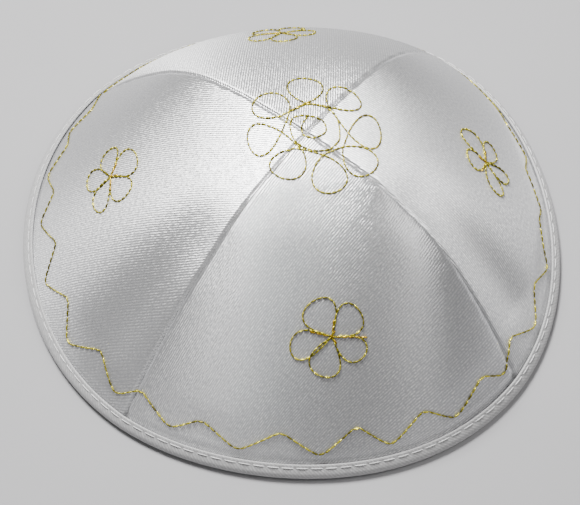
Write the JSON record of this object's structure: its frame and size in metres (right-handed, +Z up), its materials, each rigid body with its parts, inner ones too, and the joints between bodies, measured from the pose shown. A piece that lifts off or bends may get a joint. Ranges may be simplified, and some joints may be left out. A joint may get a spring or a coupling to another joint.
{
  "type": "kippah skullcap",
  "caption": "Round white satin skullcap: a shallow open dome of sewn panels with a folded binding round its rim and gold thread embroidery. Rests on its rim or sits on a head.",
  "frame": {"origin": "middle of the rim's outline, on the surface that the rim rests on", "axes": "+Z up through the crown, -Y towards the front panel, +X towards the right panel"},
  "size_m": [0.1676, 0.1648, 0.056],
  "materials": {
    "satin": "white polyester satin, silky sheen with fine twill lines",
    "binding_tape": "folded white satin bias tape, softer sheen",
    "gold_thread": "twisted metallised embroidery thread, glinting",
    "white_thread": "white polyester sewing thread"
  },
  "bodies": {
    "root": {"panel_front": "satin", "panel_right": "satin", "panel_back": "satin", "panel_left": "satin", "rim_binding": "binding_tape"}
  },
  "joints": []
}
